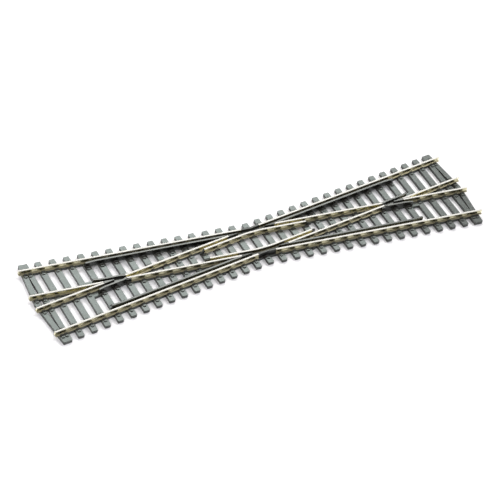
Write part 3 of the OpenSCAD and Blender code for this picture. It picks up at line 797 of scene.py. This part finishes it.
def mould_obtuse_frog(name, side):
    """Flangeway floor, knuckle between the stock rails and two points."""
    bm = bmesh.new()
    low, high = CHECK_OFF + FOOT_R + FIT_GAP, RAIL_OFF - FOOT_R - FIT_GAP
    cut = RAIL_OFF - HEAD_R - CHECK_FLANGEWAY
    out_x, in_x = POINT_X - END_GAP, KNUCKLE_X - END_GAP
    half = [a_at(-out_x, low), b_at(-out_x, high), b_at(-in_x, high), b_at(-in_x, RAIL_OFF + HEAD_R)]
    floor = [(0, low / CA)] + half + [(0, (RAIL_OFF + HEAD_R) / CA)] + [(-x, y) for x, y in reversed(half)]
    moulded_block(bm, turned(floor, 1, side), SLEEPER_T, FLOOR_Z, FLOOR_EDGE)
    rim = [b_at(-in_x, RAIL_OFF - HEAD_R), b_at(-in_x, RAIL_OFF + HEAD_R)]
    knuckle = rim + [(0, (RAIL_OFF + HEAD_R) / CA)] + [(-x, y) for x, y in reversed(rim)]
    knuckle.append((0, (RAIL_OFF - HEAD_R) / CA))
    moulded_block(bm, turned(knuckle, 1, side), SLEEPER_T, TOP_Z, KNUCKLE_EDGE)
    for sx in (-1, 1):
        point = [a_at(-out_x, RAIL_OFF - HEAD_R), b_at(-out_x, cut), b_at(-POINT_TIP, cut),
                 a_at(-POINT_TIP, RAIL_OFF - HEAD_R)]
        moulded_block(bm, turned(point, sx, side), SLEEPER_T, TOP_Z, NOSE_EDGE)
    piece(name + "_moulded", bm, OBTUSE_PLASTIC, [name])


def mould_guard_rail(name, sx, sy):
    """Bar inside a stock rail, flared at the acute end and scarfed over the closure rail's foot."""
    bm = bmesh.new()
    hi, lo = CHECK_OFF + HEAD_R, CHECK_OFF - HEAD_R
    foot_line, head_line = RAIL_OFF + FOOT_R + FIT_GAP, RAIL_OFF + HEAD_R + FIT_GAP
    stop_x, bend_x = POINT_X + END_GAP, GUARD_X - GUARD_FLARE_L
    bar = [b_at(-bend_x, lo), b_at(-GUARD_X, lo - GUARD_FLARE), b_at(-GUARD_X, hi - GUARD_FLARE),
           b_at(-bend_x, hi), meet(foot_line, hi), meet(foot_line, lo)]
    moulded_block(bm, turned(bar, sx, sy), SLEEPER_T, TOP_Z, BAR_EDGE)
    scarf = [b_at(-bend_x, lo), b_at(-bend_x, hi), b_at(-stop_x, hi), a_at(-stop_x, head_line),
             meet(head_line, lo)]
    moulded_block(bm, turned(scarf, sx, sy), SLEEPER_T + FOOT_H + FIT_GAP, TOP_Z - SCARF_DROP, BAR_EDGE)
    piece(name + "_moulded", bm, GUARD_PLASTIC, [name])


# Assembly

mould_sleeper_base()
set_chairs()
lay_rails()
lay_check_rails()
mould_acute_frog("acute_frog_west", 1)
mould_acute_frog("acute_frog_east", -1)
mould_obtuse_frog("obtuse_frog_north", 1)
mould_obtuse_frog("obtuse_frog_south", -1)
for sy_name, sy in (("north", 1), ("south", -1)):
    for sx_name, sx in (("west", 1), ("east", -1)):
        mould_guard_rail(f"guard_rail_{sy_name}_{sx_name}", sx, sy)
for name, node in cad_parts.items():
    if name.startswith("jumper"):
        node.data.materials.clear()
        node.data.materials.append(WIRE_METAL)


# Studio

def lay_floor():
    bm = bmesh.new()
    bmesh.ops.create_grid(bm, x_segments=1, y_segments=1, size=PAPER_R)
    mesh = bpy.data.meshes.new("paper_sweep")
    bm.to_mesh(mesh)
    bm.free()
    mesh.materials.append(sweep_paper())
    floor = bpy.data.objects.new("paper_sweep", mesh)
    bpy.context.scene.collection.objects.link(floor)


def hang_softbox(name, toward, distance, width, height, radiance, colour, aim=(0, 0, 0)):
    """Soft light that faces the aim point, in metres; radiance is what a mirror would show of it."""
    lamp = bpy.data.lights.new(name, "AREA")
    lamp.shape = "RECTANGLE"
    lamp.size, lamp.size_y = width, height
    lamp.energy = radiance * math.pi * width * height
    lamp.color = linear(colour)[:3]
    obj = bpy.data.objects.new(name, lamp)
    toward = Vector(toward).normalized()
    obj.location = Vector(aim) + toward * distance
    obj.rotation_mode = "QUATERNION"
    obj.rotation_quaternion = toward.to_track_quat("Z", "Y")
    bpy.context.scene.collection.objects.link(obj)


def light_studio():
    """A softbox behind that gives the sheen, a lit backdrop low behind it, a softbox far to the right that
    casts the short shadows, a small one over the west end, a weak one in front, and a pale room."""
    hang_softbox("softbox_behind", toward=(0.2, 0.68, 0.7), distance=0.9, width=0.78, height=0.34,
                 radiance=7.0, colour="#fffdfa")
    hang_softbox("lit_backdrop", toward=(0.1, 0.9, 0.25), distance=0.9, width=1.4, height=0.4,
                 radiance=3.0, colour="#ffffff")
    hang_softbox("softbox_right", toward=(0.66, 0.15, 0.72), distance=1.8, width=0.6, height=0.6,
                 radiance=16, colour="#ffffff")
    hang_softbox("softbox_west", toward=(-0.62, -0.1, 0.75), distance=0.33, width=0.3, height=0.3,
                 radiance=2.2, colour="#ffffff", aim=(-0.125, 0, 0))
    hang_softbox("softbox_front", toward=(-0.25, -0.68, 0.7), distance=0.9, width=0.9, height=0.5,
                 radiance=1.0, colour="#ffffff")
    world = bpy.data.worlds.new("pale_room")
    world.use_nodes = True
    world.node_tree.nodes.clear()
    room = add_node(world.node_tree, "ShaderNodeBackground", {"Color": linear("#f1f0f4"), "Strength": 0.27})
    add_node(world.node_tree, "ShaderNodeOutputWorld", {"Surface": room.outputs["Background"]})
    bpy.context.scene.world = world


def place_camera():
    """Long lens from the front left, 44 degrees up, rolled as the photograph is."""
    azimuth, elevation, roll = (math.radians(a) for a in (VIEW_AZIMUTH, VIEW_ELEVATION, VIEW_ROLL))
    back = Vector((math.sin(azimuth) * math.cos(elevation), -math.cos(azimuth) * math.cos(elevation),
                   math.sin(elevation)))
    right = Vector((math.cos(azimuth), math.sin(azimuth), 0))
    up = back.cross(right)
    right, up = right * math.cos(roll) + up * math.sin(roll), up * math.cos(roll) - right * math.sin(roll)
    aim = Vector(VIEW_AIM) * MM
    lens = bpy.data.cameras.new("camera")
    lens.sensor_width = SENSOR_W
    lens.lens = FOCAL_PIXELS / PICTURE_PIXELS * SENSOR_W
    lens.clip_start, lens.clip_end = 0.05, 20
    camera = bpy.data.objects.new("camera", lens)
    turn = Matrix((right, up, back)).transposed()
    camera.matrix_world = Matrix.Translation(aim + back * VIEW_DISTANCE * MM) @ turn.to_4x4()
    bpy.context.scene.collection.objects.link(camera)
    bpy.context.scene.camera = camera


lay_floor()
light_studio()
place_camera()
bpy.context.scene.view_settings.view_transform = "Standard"
